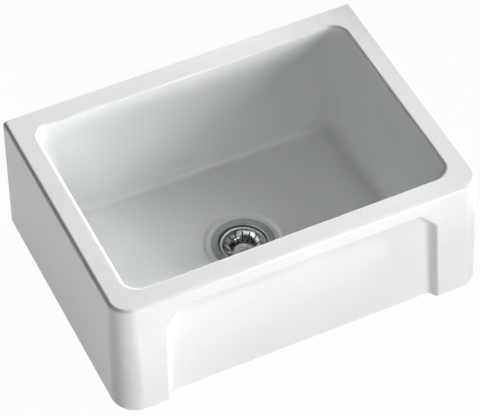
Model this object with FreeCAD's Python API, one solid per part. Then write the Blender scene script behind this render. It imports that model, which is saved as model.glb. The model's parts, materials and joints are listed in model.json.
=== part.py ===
"""Apron-front butler sink in glazed fireclay, with its basket strainer waste.

Millimetres, +X to the right, +Y to the back, +Z up. The origin lies on the flat underside, below the
centre of the rim's outline.
Each physical piece is one solid and is written to its own file in parts/.
"""

import math
import os

import FreeCAD
import Part

# Ceramic body: outside, with its width and depth at the rim
sink_width = 600.0
sink_depth = 440.0
sink_height = 227.0
side_draft = 6.5
front_draft = 6.5
front_corner_radius = 31.0
foot_corner_radius = 40.0
back_edge_radius = 7.0
rim_outer_edge_radius = 6.5
base_edge_radius = 10.0

# Ceramic body: bowl
rim_front = 36.0
rim_back = 37.5
rim_side = 37.5
floor_thickness = 21.0
bowl_side_taper = 15.0
bowl_end_taper = 9.0
bowl_corner_radius = 26.0
bowl_floor_corner_radius = 28.0
bowl_floor_fillet = 19.0
rim_inner_edge_radius = 6.0

# Ceramic body: recessed apron panel, open at the bottom
panel_recess_depth = 16.0
panel_draft = 7.0
post_width = 81.0
post_flare = 9.0
rail_height = 28.0
panel_corner_width = 27.0
panel_corner_height = 30.0
panel_corner_radius = 15.0
panel_root_radius = 10.0
panel_edge_radius = 4.0

# Ceramic body: seat of the waste
waste_forward_offset = 3.5
seat_margin = 12.5
seat_depth = 3.0
seat_slope_width = 5.0
seat_edge_radius = 7.0
dish_hole_clearance = 2.0
counterbore_clearance = 5.0
hole_edge_radius = 1.5

# Stainless waste flange, pressed as a stepped dish
flange_overlap = 9.25
flange_sheet = 1.0
flange_edge_drop = 0.6
flange_edge_width = 2.5
dish_throat_diameter = 78.0
dish_lip_radius = 2.0
dish_wall_depth = 19.5
seal_ledge_depth = 26.5
dish_cone_inset = 9.0
seal_ledge_width = 6.0
sump_depth = 9.5
drain_hole_count = 8
drain_hole_diameter = 7.0
drain_hole_inset = 7.5

# Gaskets
flange_gasket_thickness = 1.5
flange_gasket_inset = 0.5
body_gasket_thickness = 3.0
body_gasket_inset = 0.5

# Moulded waste body with its threaded outlet
body_flange_reach = 9.0
body_flange_thickness = 4.0
body_wall = 4.0
body_flush_gap = 1.0
dish_to_body_gap = 3.0
cup_below_sump = 13.5
body_cone_depth = 22.0
outlet_outer_diameter = 47.8
outlet_wall = 3.9
outlet_length = 24.0
outlet_lead_chamfer = 1.2
hub_diameter = 24.0
hub_to_sump_gap = 1.0
hub_length = 26.0
hub_cap_thickness = 3.0
rib_count = 4
rib_thickness = 4.0
rib_top_drop = 3.0
rib_height = 14.0

# Clamping screw, its sealing washer and its brass insert
screw_shank_diameter = 10.0
screw_head_across_flats = 16.0
screw_head_height = 5.0
screw_head_chamfer = 0.8
screw_end_gap = 1.0
screw_hole_clearance = 0.3
screw_washer_diameter = 20.0
screw_washer_thickness = 1.5
insert_diameter = 15.0
insert_length = 16.0
insert_flange_diameter = 19.0
insert_flange_thickness = 2.0
thread_clearance = 0.05
post_socket_depth = 24.0

# Plug under the basket: post, seal and the discs that hold it
post_diameter = 6.0
post_running_clearance = 0.05
post_reach_in_screw = 19.0
post_tip_chamfer = 0.8
post_collar_diameter = 14.0
post_collar_height = 2.0
post_journal_diameter = 8.1
seal_overlap = 3.0
seal_thickness = 4.0
seal_lip_radius = 1.0
seal_plate_inset = 5.0
seal_plate_thickness = 1.0
seal_washer_clearance = 8.0
seal_washer_thickness = 1.0
stack_clearance = 0.05
clip_thickness = 0.8
clip_diameter = 10.0
clip_gap_width = 3.6
clip_groove_diameter = 4.8
ring_section_diameter = 1.04
ring_center_diameter = 5.0
ring_groove_width = 1.4
ring_seat_clearance = 0.03
ring_depth_in_screw = 8.0
pivot_screw_diameter = 4.0
pivot_screw_length = 5.5
pivot_hole_extra_depth = 0.6
pivot_head_diameter = 11.0
pivot_head_height = 1.6
pivot_head_radius = 0.5
basket_end_play = 0.15

# Strainer basket and its lift knob
basket_gap = 2.0
basket_sheet = 1.0
basket_rim_width = 4.0
basket_rim_drop = 4.0
basket_rim_height = 2.0
basket_floor_diameter = 26.0
basket_slot_count = 16
basket_slot_width = 2.8
basket_slot_start = 4.0
basket_slot_margin = 5.6
knob_base_diameter = 16.6
knob_base_height = 1.2
knob_waist_diameter = 10.2
knob_top_diameter = 12.6
knob_height = 6.5
knob_top_height = 1.8
knob_dimple_diameter = 7.0
knob_dimple_depth = 0.5
knob_cavity_diameter = 12.2
knob_cavity_height = 2.3

# Length by which cutting tools run past what they cut, and slack for finding edges on a plane
overrun = 5.0
plane_tolerance = 0.02

# Levels and places worked out from the sizes above
front_y = -sink_depth / 2
back_y = sink_depth / 2
side_x = sink_width / 2
base_x = side_x + side_draft
base_front_y = front_y - front_draft
floor_z = floor_thickness
waste_y = -waste_forward_offset
seat_z = floor_z - seat_depth
flange_under_z = seat_z + flange_gasket_thickness
flange_top_z = flange_under_z + flange_sheet
ledge_z = flange_top_z - seal_ledge_depth
sump_z = ledge_z - sump_depth
sump_under_z = sump_z - flange_sheet
dish_radius = dish_throat_diameter / 2
dish_outer_radius = dish_radius + flange_sheet
waste_hole_diameter = 2 * (dish_outer_radius + dish_hole_clearance)
flange_diameter = waste_hole_diameter + 2 * flange_overlap
seat_diameter = flange_diameter + 2 * seat_margin
seal_ledge_outer_diameter = dish_throat_diameter - 2 * dish_cone_inset
sump_diameter = seal_ledge_outer_diameter - 2 * seal_ledge_width
drain_hole_circle_diameter = sump_diameter - 2 * drain_hole_inset
seal_diameter = sump_diameter + 2 * seal_overlap
seal_plate_diameter = seal_diameter - 2 * seal_plate_inset
seal_washer_diameter = sump_diameter - 2 * seal_washer_clearance
basket_diameter = dish_throat_diameter - 2 * basket_gap
basket_slot_inner_diameter = basket_floor_diameter + 2 * basket_slot_start
basket_slot_outer_diameter = basket_diameter - 2 * basket_slot_margin
outlet_bore_diameter = outlet_outer_diameter - 2 * outlet_wall
counterbore_z = body_gasket_thickness + body_flange_thickness + body_flush_gap
body_flange_top_z = counterbore_z - body_gasket_thickness
body_inner_radius = dish_outer_radius + dish_to_body_gap
body_outer_radius = body_inner_radius + body_wall
body_flange_diameter = 2 * (body_outer_radius + body_flange_reach)
counterbore_diameter = body_flange_diameter + 2 * counterbore_clearance
cone_top_z = sump_under_z - cup_below_sump
outlet_top_z = cone_top_z - body_cone_depth
outlet_end_z = outlet_top_z - outlet_length
hub_top_z = sump_under_z - hub_to_sump_gap
hub_end_z = hub_top_z - hub_length
head_under_z = sump_z + screw_washer_thickness
head_top_z = head_under_z + screw_head_height
insert_end_z = hub_end_z + hub_cap_thickness
insert_top_z = insert_end_z + insert_length
screw_end_z = insert_end_z + screw_end_gap
screw_hole_radius = screw_shank_diameter / 2 + screw_hole_clearance
post_radius = post_diameter / 2
socket_radius = post_radius + post_running_clearance
seal_top_z = ledge_z + seal_thickness
plate_top_z = seal_top_z + seal_plate_thickness
collar_top_z = plate_top_z + post_collar_height
basket_floor_z = collar_top_z + basket_sheet
journal_top_z = basket_floor_z + basket_end_play
washer_under_z = ledge_z - seal_washer_thickness
clip_under_z = washer_under_z - clip_thickness
post_end_z = head_top_z - post_reach_in_screw
basket_rim_z = flange_top_z - basket_rim_drop

up = FreeCAD.Vector(0, 0, 1)
waste_axis = FreeCAD.Vector(0, waste_y, 0)


def save(shape, name):
    """Write one piece, which has to be a single valid solid."""
    solids = shape.Solids
    if len(solids) != 1 or not shape.isValid():
        raise ValueError(f"{name}: {len(solids)} solids, valid {shape.isValid()}")
    solids[0].exportStep(f"parts/{name}.step")
    print(name, round(solids[0].Volume), "mm3")


def edges_where(shape, test):
    """Edges of a shape whose bounding box passes a test."""
    return [edge for edge in shape.Edges if test(edge.BoundBox)]


def flat_at(z):
    """Test for edges that lie in the level plane z."""
    return lambda box: abs(box.ZMin - z) < 1e-4 and abs(box.ZMax - z) < 1e-4


def rounded_rectangle(x_half, y_low, y_high, low_radius, high_radius, z):
    """Closed wire with one radius at its two low-Y corners and another at its two high-Y corners."""
    corners = [
        (-x_half, y_low, low_radius, 1, 1),
        (x_half, y_low, low_radius, -1, 1),
        (x_half, y_high, high_radius, -1, -1),
        (-x_half, y_high, high_radius, 1, -1),
    ]
    diagonal_share = 1 - math.sqrt(0.5)
    arcs = []
    for index, (x, y, radius, inward_x, inward_y) in enumerate(corners):
        on_x = FreeCAD.Vector(x + inward_x * radius, y, z)
        on_y = FreeCAD.Vector(x, y + inward_y * radius, z)
        inset = radius * diagonal_share
        middle = FreeCAD.Vector(x + inward_x * inset, y + inward_y * inset, z)
        starts_on_y = index % 2 == 0
        arcs.append((on_y, middle, on_x) if starts_on_y else (on_x, middle, on_y))
    edges = []
    for index, (start, middle, end) in enumerate(arcs):
        edges.append(Part.Arc(start, middle, end).toShape())
        following = arcs[(index + 1) % len(arcs)][0]
        edges.append(Part.LineSegment(end, following).toShape())
    return Part.Wire(edges)


def turned(points):
    """Solid of revolution about the waste axis from (radius, z) points.

    A point with a third value is the middle of an arc between its neighbours.
    """
    places = [FreeCAD.Vector(point[0], waste_y, point[1]) for point in points]
    is_arc_middle = [len(point) == 3 for point in points]
    edges = []
    index = 0
    count = len(points)
    while index < count:
        following = (index + 1) % count
        if is_arc_middle[following]:
            end = (index + 2) % count
            edges.append(Part.Arc(places[index], places[following], places[end]).toShape())
            index += 2
        else:
            edges.append(Part.LineSegment(places[index], places[following]).toShape())
            index += 1
    face = Part.Face(Part.Wire(edges))
    return face.revolve(waste_axis, up, 360)


def ring(inner_radius, outer_radius, low_z, high_z):
    """Plain washer on the waste axis."""
    return turned([(inner_radius, low_z), (outer_radius, low_z), (outer_radius, high_z), (inner_radius, high_z)])


def cylinder(radius, low_z, high_z):
    """Plain cylinder on the waste axis."""
    return Part.makeCylinder(radius, high_z - low_z, FreeCAD.Vector(0, waste_y, low_z), up)


def around(shape, count):
    """Copies of a shape spread evenly round the waste axis."""
    copies = []
    for index in range(count):
        copy = shape.copy()
        copy.rotate(waste_axis, up, 360 * index / count)
        copies.append(copy)
    return copies


def arc_corner(radius_a, z_a, radius_b, z_b, bulge_r, bulge_z):
    """Middle of a quarter arc from (radius_a, z_a) to (radius_b, z_b) about (bulge_r, bulge_z)."""
    middle_r = (radius_a + radius_b) / 2 - bulge_r
    middle_z = (z_a + z_b) / 2 - bulge_z
    reach = math.hypot(radius_a - bulge_r, z_a - bulge_z) / math.hypot(middle_r, middle_z)
    return (bulge_r + middle_r * reach, bulge_z + middle_z * reach, "arc")


def panel_half(z):
    """Half width of the apron recess at height z: its posts narrow towards the foot."""
    return side_x - post_width + post_flare * (1 - z / sink_height)


def panel_wire(y, inset):
    """Outline of the apron recess at depth y, drawn in by inset at its sides and top."""
    top = sink_height - rail_height - inset
    corner_z = top - panel_corner_height
    foot_x = panel_half(-overrun) - inset
    side_end_x = panel_half(corner_z) - inset
    corner_x = side_end_x - panel_corner_width
    outline = [
        (-foot_x, -overrun),
        (foot_x, -overrun),
        (side_end_x, corner_z),
        (corner_x, top),
        (-corner_x, top),
        (-side_end_x, corner_z),
    ]
    points = [FreeCAD.Vector(x, y, z) for x, z in outline]
    return Part.makePolygon(points + points[:1])


def apron_recess():
    """Tool that hollows the recessed apron panel out of the front."""
    panel_y = front_y + panel_recess_depth
    slope = panel_draft / panel_recess_depth
    mouth = panel_wire(front_y - overrun, -overrun * slope)
    tool = Part.makeLoft([mouth, panel_wire(panel_y, panel_draft)], True, True)
    depth_edges = edges_where(tool, lambda box: box.YLength > panel_recess_depth and box.ZMin > 0)
    tool = tool.makeFillet(panel_corner_radius, depth_edges)
    root = edges_where(tool, lambda box: box.YMin > panel_y - 1e-4 and box.ZMax > 0)
    tool = tool.makeFillet(panel_root_radius, root)
    lean = math.degrees(math.atan2(front_draft, sink_height))
    tool.rotate(FreeCAD.Vector(0, front_y, sink_height), FreeCAD.Vector(1, 0, 0), -lean)
    return tool


def bowl_tool():
    """Tool that hollows the bowl: drafted walls, rounded corners and a filleted floor."""
    x_half = side_x - rim_side
    y_low = front_y + rim_front
    y_high = back_y - rim_back
    top = rounded_rectangle(x_half, y_low, y_high, bowl_corner_radius, bowl_corner_radius, sink_height)
    bottom = rounded_rectangle(
        x_half - bowl_side_taper,
        y_low + bowl_end_taper,
        y_high - bowl_end_taper,
        bowl_floor_corner_radius,
        bowl_floor_corner_radius,
        floor_z,
    )
    tool = Part.makeLoft([top, bottom], True, True)
    return tool.makeFillet(bowl_floor_fillet, edges_where(tool, flat_at(floor_z)))


def seat_tool():
    """Tool for the dished seat round the waste hole, the hole and the counterbore below it."""
    seat_radius = seat_diameter / 2
    seat = turned(
        [
            (0, floor_z + overrun),
            (seat_radius, floor_z + overrun),
            (seat_radius, floor_z),
            (seat_radius - seat_slope_width, seat_z),
            (0, seat_z),
        ]
    )
    hole = cylinder(waste_hole_diameter / 2, -overrun, floor_z)
    counterbore = cylinder(counterbore_diameter / 2, -overrun, counterbore_z)
    return seat.fuse([hole, counterbore]).removeSplitter()


def round_edges(shape, radius, test, count):
    """Fillet the edges that pass a test, which have to be as many as expected."""
    edges = edges_where(shape, test)
    if len(edges) != count:
        raise ValueError(f"expected {count} edges, found {len(edges)}")
    return shape.makeFillet(radius, edges)


def is_circle(diameter, z):
    """Test for a full circle of a given diameter in the level plane z on the waste axis."""
    level = flat_at(z)
    return lambda box: level(box) and abs(box.XLength - diameter) < 1e-3 and abs(box.YLength - diameter) < 1e-3


def front_at(z):
    """Y of the leaning front face at height z."""
    return base_front_y + front_draft * z / sink_height


def drafted_block():
    """Outer block: wider and deeper at the foot than at the rim, with rounded edges and an upright back."""
    past_back_y = back_y + 2 * foot_corner_radius
    rim = rounded_rectangle(side_x, front_y, past_back_y, front_corner_radius, front_corner_radius, sink_height)
    foot = rounded_rectangle(base_x, base_front_y, past_back_y, foot_corner_radius, foot_corner_radius, 0)
    block = Part.makeLoft([rim, foot], True, True)
    block = block.makeFillet(base_edge_radius, edges_where(block, flat_at(0)))
    behind = Part.makeBox(2 * base_x, past_back_y, sink_height, FreeCAD.Vector(-base_x, back_y, 0))
    block = block.cut(behind)
    on_back = back_y - plane_tolerance
    upright = edges_where(block, lambda box: box.YMin > on_back and box.ZLength > sink_height / 2)
    block = block.makeFillet(back_edge_radius, upright)
    return block.makeFillet(rim_outer_edge_radius, edges_where(block, flat_at(sink_height)))


def make_sink_body():
    """The fireclay sink: block, apron recess, bowl and waste seat."""
    body = drafted_block()
    body = body.cut(apron_recess())
    front = edges_where(
        body,
        lambda box: abs(box.YMin - front_at(box.ZMin)) < plane_tolerance
        and abs(box.YMax - front_at(box.ZMax)) < plane_tolerance
        and box.ZLength + box.XLength > panel_edge_radius
        and box.ZMax < sink_height - rail_height + panel_edge_radius
        and box.XMax < side_x - front_corner_radius - panel_edge_radius
        and box.XMin > -side_x + front_corner_radius + panel_edge_radius
        and box.ZMax > base_edge_radius,
    )
    body = body.makeFillet(panel_edge_radius, front)
    body = body.cut(bowl_tool())
    body = body.makeFillet(rim_inner_edge_radius, rim_inner_edges(body))
    body = body.cut(seat_tool())
    body = round_edges(body, seat_edge_radius, is_circle(seat_diameter, floor_z), 1)
    body = round_edges(body, hole_edge_radius, is_circle(waste_hole_diameter, seat_z), 1)
    body = round_edges(body, hole_edge_radius, is_circle(counterbore_diameter, 0), 1)
    return body


def rim_inner_edges(body):
    """Edges of the bowl's mouth, which lie in the rim's plane inside the outer edge rounding."""
    level = flat_at(sink_height)
    x_limit = side_x - rim_side
    y_low = front_y + rim_front
    y_high = back_y - rim_back
    slack = rim_inner_edge_radius

    def inside(box):
        within_x = box.XMin > -x_limit - slack and box.XMax < x_limit + slack
        within_y = box.YMin > y_low - slack and box.YMax < y_high + slack
        return level(box) and within_x and within_y

    return edges_where(body, inside)


def make_waste_flange():
    """Stepped stainless dish: flat flange, throat, cone, flat ledge for the seal, and a drilled sump."""
    flange_radius = flange_diameter / 2
    lip_start = dish_radius + dish_lip_radius
    wall_end_z = flange_top_z - dish_wall_depth
    ledge_radius = seal_ledge_outer_diameter / 2
    sump_radius = sump_diameter / 2
    under_ledge_z = ledge_z - flange_sheet
    lip_center_z = flange_top_z - dish_lip_radius
    profile = [
        (flange_radius, flange_under_z),
        (flange_radius, flange_top_z - flange_edge_drop),
        (flange_radius - flange_edge_width, flange_top_z),
        (lip_start, flange_top_z),
        arc_corner(lip_start, flange_top_z, dish_radius, lip_center_z, lip_start, lip_center_z),
        (dish_radius, lip_center_z),
        (dish_radius, wall_end_z),
        (ledge_radius, ledge_z),
        (sump_radius, ledge_z),
        (sump_radius, sump_z),
        (screw_hole_radius, sump_z),
        (screw_hole_radius, sump_under_z),
        (sump_radius + flange_sheet, sump_under_z),
        (sump_radius + flange_sheet, under_ledge_z),
        (ledge_radius + flange_sheet, under_ledge_z),
        (dish_outer_radius, wall_end_z - flange_sheet),
        (dish_outer_radius, flange_under_z),
    ]
    dish = turned(profile)
    hole_place = FreeCAD.Vector(drain_hole_circle_diameter / 2, waste_y, sump_under_z - overrun)
    hole = Part.makeCylinder(drain_hole_diameter / 2, flange_sheet + 2 * overrun, hole_place, up)
    hole.rotate(waste_axis, up, 180 / drain_hole_count)
    return dish.cut(around(hole, drain_hole_count))


def make_flange_gasket():
    """Soft washer between the flange and the ceramic seat."""
    return ring(waste_hole_diameter / 2, flange_diameter / 2 - flange_gasket_inset, seat_z, flange_under_z)


def make_body_gasket():
    """Thick rubber washer between the waste body and the ceramic underside."""
    return ring(
        waste_hole_diameter / 2 + body_gasket_inset,
        body_flange_diameter / 2 - body_gasket_inset,
        body_flange_top_z,
        counterbore_z,
    )


def make_waste_body():
    """Moulded cup that hangs below the sink, with a ribbed hub for the screw and a threaded outlet."""
    flange_radius = body_flange_diameter / 2
    flange_low_z = body_flange_top_z - body_flange_thickness
    outlet_radius = outlet_outer_diameter / 2
    bore_radius = outlet_bore_diameter / 2
    outer_profile = [
        (0, body_flange_top_z),
        (flange_radius, body_flange_top_z),
        (flange_radius, flange_low_z),
        (body_outer_radius, flange_low_z),
        (body_outer_radius, cone_top_z),
        (outlet_radius, outlet_top_z),
        (outlet_radius, outlet_end_z + outlet_lead_chamfer),
        (outlet_radius - outlet_lead_chamfer, outlet_end_z),
        (0, outlet_end_z),
    ]
    hollow_profile = [
        (0, body_flange_top_z + overrun),
        (body_inner_radius, body_flange_top_z + overrun),
        (body_inner_radius, cone_top_z),
        (bore_radius, outlet_top_z),
        (bore_radius, outlet_end_z - overrun),
        (0, outlet_end_z - overrun),
    ]
    outer = turned(outer_profile)
    hollow = turned(hollow_profile)
    rib_low_z = hub_top_z - rib_top_drop - rib_height
    rib_place = FreeCAD.Vector(0, waste_y - rib_thickness / 2, rib_low_z)
    rib = Part.makeBox(body_outer_radius + overrun, rib_thickness, rib_height, rib_place)
    spider = cylinder(hub_diameter / 2, hub_end_z, hub_top_z).fuse(around(rib, rib_count)).common(outer)
    shell = outer.cut(hollow)
    screw_way = cylinder(screw_hole_radius, insert_end_z, hub_top_z + overrun)
    sleeve_way = cylinder(insert_diameter / 2 + thread_clearance, insert_end_z, insert_top_z + thread_clearance)
    flange_end_z = insert_end_z + insert_flange_thickness + thread_clearance
    flange_way = cylinder(insert_flange_diameter / 2 + thread_clearance, insert_end_z, flange_end_z)
    return shell.fuse(spider).cut([screw_way, sleeve_way, flange_way]).removeSplitter()


def make_thread_insert():
    """Flanged brass bush, moulded into the closed hub, that the screw pulls on."""
    sleeve = cylinder(insert_diameter / 2, insert_end_z, insert_top_z)
    flange = cylinder(insert_flange_diameter / 2, insert_end_z, insert_end_z + insert_flange_thickness)
    bore = cylinder(screw_shank_diameter / 2 + thread_clearance, insert_end_z - overrun, hub_top_z)
    return sleeve.fuse(flange).cut(bore).removeSplitter()


def make_screw_washer():
    """Sealing washer under the screw's head."""
    return ring(screw_hole_radius, screw_washer_diameter / 2, sump_z, head_under_z)


def make_clamp_screw():
    """Hexagon screw that draws flange and body together; its bored head takes the basket's post."""
    corner_radius = screw_head_across_flats / math.sqrt(3)
    corners = []
    for index in range(6):
        angle = math.pi * index / 3
        corner = FreeCAD.Vector(corner_radius * math.cos(angle), corner_radius * math.sin(angle), head_under_z)
        corners.append(corner + waste_axis)
    hexagon = Part.Face(Part.makePolygon(corners + corners[:1]))
    head = hexagon.extrude(FreeCAD.Vector(0, 0, screw_head_height))
    crown = turned(
        [
            (0, head_under_z),
            (corner_radius, head_under_z),
            (corner_radius, head_top_z - screw_head_chamfer),
            (screw_head_across_flats / 2, head_top_z),
            (0, head_top_z),
        ]
    )
    shank = cylinder(screw_shank_diameter / 2, screw_end_z, head_under_z)
    socket = cylinder(socket_radius, head_top_z - post_socket_depth, head_top_z + overrun)
    return head.common(crown).fuse(shank).cut(socket).removeSplitter()


def make_basket_post():
    """Turned post: tip in the screw's socket, grooves for ring and clip, collar, and a journal for the basket."""
    groove_radius = clip_groove_diameter / 2
    ring_groove_radius = (ring_center_diameter - ring_section_diameter) / 2 - ring_seat_clearance
    ring_z = head_top_z - ring_depth_in_screw
    collar_radius = post_collar_diameter / 2
    journal_radius = post_journal_diameter / 2
    hole_radius = pivot_screw_diameter / 2 + thread_clearance
    hole_end_z = journal_top_z - pivot_screw_length - pivot_hole_extra_depth
    return turned(
        [
            (0, post_end_z),
            (post_radius - post_tip_chamfer, post_end_z),
            (post_radius, post_end_z + post_tip_chamfer),
            (post_radius, ring_z - ring_groove_width / 2),
            (ring_groove_radius, ring_z - ring_groove_width / 2),
            (ring_groove_radius, ring_z + ring_groove_width / 2),
            (post_radius, ring_z + ring_groove_width / 2),
            (post_radius, clip_under_z),
            (groove_radius, clip_under_z),
            (groove_radius, washer_under_z),
            (post_radius, washer_under_z),
            (post_radius, plate_top_z),
            (collar_radius, plate_top_z),
            (collar_radius, collar_top_z),
            (journal_radius, collar_top_z),
            (journal_radius, journal_top_z),
            (hole_radius, journal_top_z),
            (hole_radius, hole_end_z),
            (0, hole_end_z),
        ]
    )


def make_plug_seal():
    """Rubber disc that closes the waste on the dish's ledge."""
    hole_radius = post_radius + stack_clearance
    outer_radius = seal_diameter / 2
    seal = ring(hole_radius, outer_radius, ledge_z, seal_top_z)
    return round_edges(seal, seal_lip_radius, is_circle(seal_diameter, seal_top_z), 1)


def make_seal_plate():
    """Stainless plate on top of the seal."""
    return ring(post_radius + stack_clearance, seal_plate_diameter / 2, seal_top_z, plate_top_z)


def make_seal_washer():
    """Stainless washer below the seal."""
    return ring(post_radius + stack_clearance, seal_washer_diameter / 2, washer_under_z, ledge_z)


def make_seal_clip():
    """Open clip in the post's groove that holds washer, seal and plate up."""
    clip = ring(clip_groove_diameter / 2 + stack_clearance, clip_diameter / 2, clip_under_z, washer_under_z)
    gap_place = FreeCAD.Vector(0, waste_y - clip_gap_width / 2, clip_under_z - overrun)
    gap = Part.makeBox(clip_diameter, clip_gap_width, clip_thickness + 2 * overrun, gap_place)
    return clip.cut(gap)


def make_post_ring():
    """Rubber ring that grips the socket and keeps the basket at the height it is set to."""
    center = FreeCAD.Vector(0, waste_y, head_top_z - ring_depth_in_screw)
    return Part.makeTorus(ring_center_diameter / 2, ring_section_diameter / 2, center, up)


def make_pivot_screw():
    """Low-headed screw in the post's top that keeps the basket on its journal."""
    head_radius = pivot_head_diameter / 2
    head_top = journal_top_z + pivot_head_height
    head = cylinder(head_radius, journal_top_z, head_top)
    head = round_edges(head, pivot_head_radius, is_circle(pivot_head_diameter, head_top), 1)
    shank = cylinder(pivot_screw_diameter / 2, journal_top_z - pivot_screw_length, journal_top_z)
    return head.fuse(shank).removeSplitter()


def make_strainer_basket():
    """Pressed stainless bowl with a ring of radial slots and a turned-out rim."""
    floor_radius = basket_floor_diameter / 2
    rim_radius = basket_diameter / 2
    mouth_radius = rim_radius - basket_rim_width
    run = mouth_radius - floor_radius
    rise = basket_rim_z - basket_floor_z
    bowl_radius = (run * run + rise * rise) / (2 * rise)
    center_z = basket_floor_z + bowl_radius
    end_angle = math.asin(run / bowl_radius)
    under_radius = bowl_radius + basket_sheet
    hole_radius = post_journal_diameter / 2 + post_running_clearance

    def on_bowl(radius, angle):
        return (floor_radius + radius * math.sin(angle), center_z - radius * math.cos(angle))

    rim_low_z = basket_rim_z - basket_rim_height
    under_angle = math.acos((center_z - rim_low_z) / under_radius)
    profile = [
        (hole_radius, collar_top_z),
        (floor_radius, collar_top_z),
        on_bowl(under_radius, under_angle / 2) + ("arc",),
        on_bowl(under_radius, under_angle),
        (rim_radius, rim_low_z),
        (rim_radius, basket_rim_z),
        on_bowl(bowl_radius, end_angle),
        on_bowl(bowl_radius, end_angle / 2) + ("arc",),
        (floor_radius, basket_floor_z),
        (hole_radius, basket_floor_z),
    ]
    basket = turned(profile)
    return basket.cut(around(basket_slot(), basket_slot_count))


def basket_slot():
    """Tool for one radial slot with round ends."""
    half_width = basket_slot_width / 2
    inner = basket_slot_inner_diameter / 2 + half_width
    outer = basket_slot_outer_diameter / 2 - half_width
    low_z = collar_top_z - overrun
    height = basket_rim_z + overrun - low_z
    corner = FreeCAD.Vector(inner, waste_y - half_width, low_z)
    straight = Part.makeBox(outer - inner, basket_slot_width, height, corner)
    ends = [
        Part.makeCylinder(half_width, height, FreeCAD.Vector(radius, waste_y, low_z), up)
        for radius in (inner, outer)
    ]
    return straight.fuse(ends)


def make_basket_knob():
    """Turned lift knob, hollow below so that it covers the pivot screw's head."""
    base_radius = knob_base_diameter / 2
    waist_radius = knob_waist_diameter / 2
    top_radius = knob_top_diameter / 2
    top_z = basket_floor_z + knob_height
    shoulder_z = basket_floor_z + knob_base_height
    crown_z = top_z - knob_top_height
    waist_z = (shoulder_z + crown_z) / 2
    cavity_radius = knob_cavity_diameter / 2
    cavity_z = basket_floor_z + knob_cavity_height
    dimple_radius = knob_dimple_diameter / 2
    edge = knob_top_height / 2
    return turned(
        [
            (cavity_radius, basket_floor_z),
            (base_radius, basket_floor_z),
            (base_radius, shoulder_z),
            (waist_radius + (base_radius - waist_radius) / 4, waist_z, "arc"),
            (top_radius, crown_z),
            (top_radius, top_z - edge),
            arc_corner(top_radius, top_z - edge, top_radius - edge, top_z, top_radius - edge, top_z - edge),
            (top_radius - edge, top_z),
            (dimple_radius, top_z),
            (dimple_radius - knob_dimple_depth, top_z - knob_dimple_depth),
            (0, top_z - knob_dimple_depth),
            (0, cavity_z),
            (cavity_radius, cavity_z),
        ]
    )


pieces = {
    "sink_body": make_sink_body,
    "waste_flange": make_waste_flange,
    "flange_gasket": make_flange_gasket,
    "body_gasket": make_body_gasket,
    "waste_body": make_waste_body,
    "thread_insert": make_thread_insert,
    "clamp_screw": make_clamp_screw,
    "screw_washer": make_screw_washer,
    "basket_post": make_basket_post,
    "plug_seal": make_plug_seal,
    "seal_plate": make_seal_plate,
    "seal_washer": make_seal_washer,
    "seal_clip": make_seal_clip,
    "post_ring": make_post_ring,
    "pivot_screw": make_pivot_screw,
    "strainer_basket": make_strainer_basket,
    "basket_knob": make_basket_knob,
}

os.makedirs("parts", exist_ok=True)
for piece_name, make_piece in pieces.items():
    save(make_piece(), piece_name)
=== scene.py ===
"""Looks of the butler sink: finishes on the fixed frame, plain studio light and the photograph's camera."""

import json
import math

import bpy
from mathutils import Matrix, Vector


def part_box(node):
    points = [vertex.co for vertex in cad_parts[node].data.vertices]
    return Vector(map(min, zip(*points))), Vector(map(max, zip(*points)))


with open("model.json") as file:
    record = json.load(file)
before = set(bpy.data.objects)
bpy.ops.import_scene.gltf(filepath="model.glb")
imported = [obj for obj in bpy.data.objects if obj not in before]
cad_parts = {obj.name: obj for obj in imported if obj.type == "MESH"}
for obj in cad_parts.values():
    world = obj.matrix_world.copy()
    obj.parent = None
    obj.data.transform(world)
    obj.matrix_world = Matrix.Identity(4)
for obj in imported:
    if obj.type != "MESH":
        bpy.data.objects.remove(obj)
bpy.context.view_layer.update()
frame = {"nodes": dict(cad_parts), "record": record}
nodes = frame["nodes"]

sink_low, sink_high = (Vector(corner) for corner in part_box("sink_body"))
flange_low, flange_high = (Vector(corner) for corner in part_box("waste_flange"))
waste_low, waste_high = (Vector(corner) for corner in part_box("waste_body"))
waste_center = (flange_low + flange_high) / 2
waste_radius = (waste_high.x - waste_low.x) / 2

# Photograph's width in pixels, and the camera that was fitted to the sink's edges in it
PHOTO_WIDTH = 480
SENSOR_WIDTH = 36.0
CAMERA_AZIMUTH = -24.08
CAMERA_ELEVATION = 47.54
CAMERA_ROLL = -1.76
CAMERA_DISTANCE = 3.766
CAMERA_FOCAL_PIXELS = 2440.6
CAMERA_AIM = Vector((-0.0076, -0.0124, 0.1135))
CAMERA_REACH = 100.0

# Keys: columns of small spots that skim the rim from the right and from behind, angles in degrees
KEYS = {
    "right_key": dict(azimuth=77.0, elevations=(8.0, 29.0), count=12, distance=7.0, power=1890.0),
    "back_key": dict(azimuth=120.0, elevations=(18.0, 28.0), count=6, distance=7.0, power=2560.0),
}
KEY_RADIUS = 0.08
KEY_HALF_CONE = 30.0
KEY_FEATHER = 0.02
KEY_DROP = 0.035

# Panels: two low ones for the apron, a strip for the bowl's creases, two for the steel and a lamp on the left
PANELS = {
    "left_panel": dict(azimuth=-36.0, elevation=4.0, distance=3.5, size=(1.2, 0.5), power=13.0),
    "right_panel": dict(azimuth=25.0, elevation=3.0, distance=3.5, size=(1.6, 0.5), power=71.0),
    "strip": dict(azimuth=32.0, elevation=58.0, distance=2.5, size=(0.8, 0.25), power=5.5),
    "back_panel": dict(azimuth=170.0, elevation=48.0, distance=3.5, size=(2.4, 1.4), power=2.9),
    "top_panel": dict(azimuth=-24.0, elevation=86.0, distance=3.0, size=(3.0, 2.6), power=2.3),
    "left_lamp": dict(azimuth=-63.0, elevation=40.0, distance=3.0, size=(0.35, 0.35), power=1.2),
}

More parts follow.
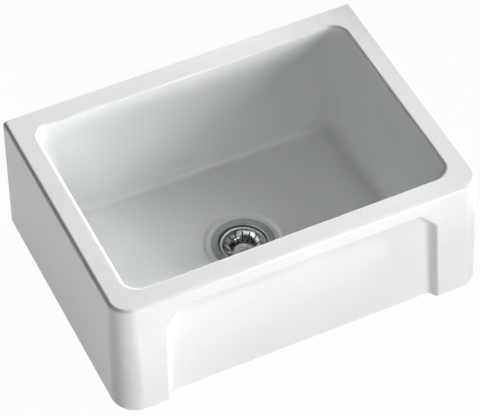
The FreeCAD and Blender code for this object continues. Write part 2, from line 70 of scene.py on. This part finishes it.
# Surroundings: a white horizon under a dark ceiling, and a pale floor; heights are sines of the elevation
HORIZON_LEVEL = 1.0
HORIZON_LOW = 0.04
HORIZON_TOP = 0.09
CEILING_LEVEL = 0.0
FLOOR_RADIUS = 12.0
FLOOR_SEGMENTS = 48
FLOOR_COLOR = (0.7, 0.7, 0.7, 1.0)
FLOOR_WHITE_SHARE = 0.97

# Part of a noise's range over which a colour changes
WIDE_SPAN = (0.3, 0.7)
NARROW_SPAN = (0.35, 0.65)


class Material:
    """A node material on one Principled shader, with short helpers to wire its textures."""

    def __init__(self, name, metallic=0.0, specular=0.5):
        self.material = bpy.data.materials.new(name)
        self.material.use_nodes = True
        self.tree = self.material.node_tree
        self.shader = self.tree.nodes["Principled BSDF"]
        self.set("Metallic", metallic)
        self.set("Specular IOR Level", specular)

    def set(self, socket, value):
        self.shader.inputs[socket].default_value = value

    def link(self, source, target):
        self.tree.links.new(source, target)

    def coordinates(self):
        return self.tree.nodes.new("ShaderNodeTexCoord").outputs["Object"]

    def noise(self, vector, scale, detail=2.0, roughness=0.5):
        made = self.tree.nodes.new("ShaderNodeTexNoise")
        made.inputs["Scale"].default_value = scale
        made.inputs["Detail"].default_value = detail
        made.inputs["Roughness"].default_value = roughness
        self.link(vector, made.inputs["Vector"])
        return made.outputs["Fac"]

    def math(self, operation, *values):
        made = self.tree.nodes.new("ShaderNodeMath")
        made.operation = operation
        for socket, value in zip(made.inputs, values):
            if isinstance(value, float):
                socket.default_value = value
            else:
                self.link(value, socket)
        return made.outputs[0]

    def tint(self, factor, low_color, high_color, span):
        """Base colour between two colours, with their mean where the texture isn't read."""
        made = self.tree.nodes.new("ShaderNodeValToRGB")
        for element, position, color in zip(made.color_ramp.elements, span, (low_color, high_color)):
            element.position = position
            element.color = (*color, 1.0)
        self.link(factor, made.inputs["Fac"])
        self.set("Base Color", (*(sum(pair) / 2 for pair in zip(low_color, high_color)), 1.0))
        self.link(made.outputs["Color"], self.shader.inputs["Base Color"])

    def gloss(self, factor, low, high):
        """Roughness between two values, with their mean where the texture isn't read."""
        made = self.tree.nodes.new("ShaderNodeMapRange")
        made.inputs["To Min"].default_value = low
        made.inputs["To Max"].default_value = high
        self.link(factor, made.inputs["Value"])
        self.set("Roughness", (low + high) / 2)
        self.link(made.outputs["Result"], self.shader.inputs["Roughness"])

    def bump(self, *layers):
        """Bumps stacked one on another, each a (height, distance in metres, strength)."""
        below = None
        for height, distance, strength in layers:
            made = self.tree.nodes.new("ShaderNodeBump")
            made.inputs["Strength"].default_value = strength
            made.inputs["Distance"].default_value = distance
            self.link(height, made.inputs["Height"])
            if below is not None:
                self.link(below, made.inputs["Normal"])
            below = made.outputs["Normal"]
        self.link(below, self.shader.inputs["Normal"])

    def rings(self, scale):
        """Fine lines round the waste axis, as left by turning or spinning."""
        split = self.tree.nodes.new("ShaderNodeSeparateXYZ")
        self.link(self.coordinates(), split.inputs[0])
        across = self.math("SUBTRACT", split.outputs["X"], waste_center.x)
        along = self.math("SUBTRACT", split.outputs["Y"], waste_center.y)
        square = self.math("ADD", self.math("MULTIPLY", across, across), self.math("MULTIPLY", along, along))
        joined = self.tree.nodes.new("ShaderNodeCombineXYZ")
        self.link(self.math("SQRT", square), joined.inputs["X"])
        self.link(split.outputs["Z"], joined.inputs["Y"])
        return self.noise(joined.outputs[0], scale, detail=3.0, roughness=0.6)


def glaze():
    """White gloss glaze over fireclay: faintly uneven colour, slow waves and a fine orange peel."""
    dull_white = (0.838, 0.852, 0.848)
    bright_white = (0.868, 0.88, 0.876)
    tone_scale, gloss_scale, wave_scale, peel_scale = 9.0, 60.0, 14.0, 220.0
    wave_height, wave_strength = 0.0008, 0.14
    peel_height, peel_strength = 0.00006, 0.3
    made = Material("white_glaze")
    place = made.coordinates()
    made.tint(made.noise(place, tone_scale, detail=3.0), dull_white, bright_white, WIDE_SPAN)
    made.gloss(made.noise(place, gloss_scale), 0.04, 0.09)
    waves = made.noise(place, wave_scale, detail=1.0)
    peel = made.noise(place, peel_scale)
    made.bump((waves, wave_height, wave_strength), (peel, peel_height, peel_strength))
    made.set("IOR", 1.52)
    return made.material


def satin_steel():
    """Stainless sheet with fine concentric brushing."""
    line_scale, line_height, line_strength = 2600.0, 0.00003, 0.3
    made = Material("satin_steel", metallic=1.0)
    lines = made.rings(line_scale)
    made.tint(lines, (0.46, 0.47, 0.48), (0.56, 0.57, 0.58), WIDE_SPAN)
    made.gloss(lines, 0.24, 0.42)
    made.bump((lines, line_height, line_strength))
    return made.material


def polished_steel():
    """Bright pressed stainless with faint drawing lines and water marks."""
    line_scale, line_height, line_strength = 1500.0, 0.00002, 0.2
    mark_scale = 260.0
    made = Material("polished_steel", metallic=1.0)
    marks = made.noise(made.coordinates(), mark_scale, detail=4.0)
    made.tint(marks, (0.6, 0.61, 0.62), (0.68, 0.69, 0.7), WIDE_SPAN)
    made.gloss(marks, 0.14, 0.26)
    made.bump((made.rings(line_scale), line_height, line_strength))
    return made.material


def black_rubber():
    """Moulded black rubber with a dusty grain."""
    grain_scale, grain_height, grain_strength = 900.0, 0.00005, 0.4
    made = Material("black_rubber", specular=0.35)
    grain = made.noise(made.coordinates(), grain_scale, detail=4.0)
    made.tint(grain, (0.022, 0.022, 0.023), (0.045, 0.044, 0.043), WIDE_SPAN)
    made.gloss(grain, 0.5, 0.72)
    made.bump((grain, grain_height, grain_strength))
    return made.material


def moulded_plastic(name, color, low_roughness, high_roughness):
    """Eroded-mould finish of a polyolefin or nylon moulding."""
    shade_scale, shade_share = 25.0, 0.96
    grain_scale, grain_height, grain_strength = 1200.0, 0.00005, 0.35
    made = Material(name, specular=0.45)
    grain = made.noise(made.coordinates(), grain_scale)
    shade = made.noise(made.coordinates(), shade_scale)
    made.tint(shade, tuple(channel * shade_share for channel in color), color, NARROW_SPAN)
    made.gloss(grain, low_roughness, high_roughness)
    made.bump((grain, grain_height, grain_strength))
    return made.material


def turned_brass():
    """Turned brass with tool rings and a slight tarnish."""
    line_scale, line_height, line_strength = 2200.0, 0.00003, 0.3
    tarnish_scale = 180.0
    made = Material("turned_brass", metallic=1.0)
    lines = made.rings(line_scale)
    tarnish = made.noise(made.coordinates(), tarnish_scale, detail=3.0)
    made.tint(tarnish, (0.6, 0.43, 0.19), (0.76, 0.57, 0.27), NARROW_SPAN)
    made.gloss(lines, 0.18, 0.34)
    made.bump((lines, line_height, line_strength))
    return made.material


def dress_nodes():
    """Give each node the finish of its material slot in the record."""
    finishes = {
        "ceramic": glaze(),
        "satin_steel": satin_steel(),
        "polished_steel": polished_steel(),
        "rubber": black_rubber(),
        "body_plastic": moulded_plastic("body_plastic", (0.78, 0.78, 0.76), 0.36, 0.5),
        "brass": turned_brass(),
        "nylon": moulded_plastic("natural_nylon", (0.8, 0.79, 0.73), 0.3, 0.44),
    }
    for subpart in frame["record"]["subparts"]:
        mesh = nodes[subpart["node"]].data
        mesh.materials.clear()
        mesh.materials.append(finishes[subpart["material_slot"]])


def polar_place(azimuth, elevation, distance):
    """Point round the aim point, with azimuth 0 in front of the apron and 90 on its right, in degrees."""
    turn, rise = math.radians(azimuth), math.radians(elevation)
    flat = distance * math.cos(rise)
    return CAMERA_AIM + Vector((flat * math.sin(turn), -flat * math.cos(turn), distance * math.sin(rise)))


def add_lamp(name, kind, azimuth, elevation, distance, power):
    """Lamp of one kind at its place round the sink, aimed at it."""
    data = bpy.data.lights.new(name, kind)
    data.energy = power
    lamp = bpy.data.objects.new(name, data)
    lamp.location = polar_place(azimuth, elevation, distance)
    lamp.rotation_euler = (CAMERA_AIM - lamp.location).to_track_quat("-Z", "Y").to_euler()
    bpy.context.collection.objects.link(lamp)
    return lamp


def add_keys():
    """Two columns of spots, evenly spread over their elevations."""
    for name, key in KEYS.items():
        lowest, highest = key["elevations"]
        count = key["count"]
        for index in range(count):
            elevation = lowest + (highest - lowest) * (index + 0.5) / count
            power = key["power"] / count
            spot_name = f"{name}_{index + 1}"
            feather(add_lamp(spot_name, "SPOT", key["azimuth"], elevation, key["distance"], power))


def feather(spot):
    """Turn a spot so that the lower edge of its cone fades out just below the rim."""
    half_cone = math.radians(KEY_HALF_CONE)
    spot.data.shadow_soft_size = KEY_RADIUS
    spot.data.spot_blend = KEY_FEATHER
    spot.data.spot_size = 2 * half_cone
    near = [min(max(place, low), high) for place, low, high in zip(spot.location, sink_low, sink_high)]
    edge = Vector((near[0], near[1], sink_high.z - KEY_DROP)) - spot.location
    axis = Matrix.Rotation(half_cone, 3, edge.cross(Vector((0, 0, 1)))) @ edge
    spot.rotation_euler = axis.to_track_quat("-Z", "Y").to_euler()


def add_panels():
    """Flat softboxes, aimed at the sink."""
    for name, panel in PANELS.items():
        lamp = add_lamp(name, "AREA", panel["azimuth"], panel["elevation"], panel["distance"], panel["power"])
        lamp.data.shape = "RECTANGLE"
        lamp.data.size, lamp.data.size_y = panel["size"]


def add_world():
    """White up to just above the horizon and dark overhead."""
    world = bpy.data.worlds.new("studio")
    bpy.context.scene.world = world
    world.use_nodes = True
    tree = world.node_tree
    background = tree.nodes["Background"]
    background.inputs["Color"].default_value = (1.0, 1.0, 1.0, 1.0)
    place = tree.nodes.new("ShaderNodeTexCoord")
    split = tree.nodes.new("ShaderNodeSeparateXYZ")
    tree.links.new(place.outputs["Generated"], split.inputs[0])
    light = tree.nodes.new("ShaderNodeMapRange")
    light.interpolation_type = "SMOOTHSTEP"
    light.inputs["From Min"].default_value = HORIZON_LOW
    light.inputs["From Max"].default_value = HORIZON_TOP
    light.inputs["To Min"].default_value = HORIZON_LEVEL
    light.inputs["To Max"].default_value = CEILING_LEVEL
    tree.links.new(split.outputs["Z"], light.inputs["Value"])
    tree.links.new(light.outputs["Result"], background.inputs["Strength"])


def add_floor():
    """Pale floor in the plane of the sink's underside, open round the waste."""
    points = []
    for center, radius in ((waste_center, waste_radius), (Vector(), FLOOR_RADIUS)):
        for index in range(FLOOR_SEGMENTS):
            turn = 2 * math.pi * index / FLOOR_SEGMENTS
            across, along = radius * math.cos(turn), radius * math.sin(turn)
            points.append((center.x + across, center.y + along, sink_low.z))
    faces = []
    for index in range(FLOOR_SEGMENTS):
        following = (index + 1) % FLOOR_SEGMENTS
        faces.append((index, FLOOR_SEGMENTS + index, FLOOR_SEGMENTS + following, following))
    mesh = bpy.data.meshes.new("floor")
    mesh.from_pydata(points, [], faces)
    mesh.materials.append(floor_material())
    floor = bpy.data.objects.new("floor", mesh)
    bpy.context.collection.objects.link(floor)


def floor_material():
    """Pale matt floor, mostly white to the camera so that only a soft shadow shows; clear from below."""
    material = bpy.data.materials.new("floor")
    material.use_nodes = True
    tree = material.node_tree
    tree.nodes.clear()
    output = tree.nodes.new("ShaderNodeOutputMaterial")
    matt = tree.nodes.new("ShaderNodeBsdfDiffuse")
    matt.inputs["Color"].default_value = FLOOR_COLOR
    white = tree.nodes.new("ShaderNodeEmission")
    share = tree.nodes.new("ShaderNodeMath")
    share.operation = "MULTIPLY"
    share.inputs[1].default_value = FLOOR_WHITE_SHARE
    tree.links.new(seen_directly(tree), share.inputs[0])
    top = mixed(tree, share.outputs[0], matt, white)
    below = tree.nodes.new("ShaderNodeBsdfTransparent")
    side = tree.nodes.new("ShaderNodeNewGeometry")
    both = mixed(tree, side.outputs["Backfacing"], top, below)
    tree.links.new(both.outputs[0], output.inputs["Surface"])
    return material


def seen_directly(tree):
    """1 for rays from the camera, from a mirror or through glass, and 0 for light that bounces."""
    path = tree.nodes.new("ShaderNodeLightPath")
    total = path.outputs["Is Camera Ray"]
    for name in ("Is Glossy Ray", "Is Transmission Ray"):
        either = tree.nodes.new("ShaderNodeMath")
        either.operation = "MAXIMUM"
        tree.links.new(total, either.inputs[0])
        tree.links.new(path.outputs[name], either.inputs[1])
        total = either.outputs[0]
    return total


def mixed(tree, factor, first, second):
    """Shader that goes from the first to the second as the factor goes from 0 to 1."""
    made = tree.nodes.new("ShaderNodeMixShader")
    tree.links.new(factor, made.inputs["Fac"])
    tree.links.new(first.outputs[0], made.inputs[1])
    tree.links.new(second.outputs[0], made.inputs[2])
    return made


def add_camera():
    """Long lens from the front left, above the rim, as fitted to the photograph."""
    data = bpy.data.cameras.new("camera")
    data.sensor_fit = "HORIZONTAL"
    data.sensor_width = SENSOR_WIDTH
    data.lens = CAMERA_FOCAL_PIXELS * SENSOR_WIDTH / PHOTO_WIDTH
    data.clip_end = CAMERA_REACH
    camera = bpy.data.objects.new("camera", data)
    place = polar_place(CAMERA_AZIMUTH, CAMERA_ELEVATION, CAMERA_DISTANCE)
    look = (CAMERA_AIM - place).to_track_quat("-Z", "Y").to_matrix().to_4x4()
    roll = Matrix.Rotation(math.radians(CAMERA_ROLL), 4, "Z")
    camera.matrix_world = Matrix.Translation(place) @ look @ roll
    bpy.context.collection.objects.link(camera)
    bpy.context.scene.camera = camera


dress_nodes()
add_keys()
add_panels()
add_world()
add_floor()
add_camera()
bpy.context.scene.view_settings.view_transform = "Standard"
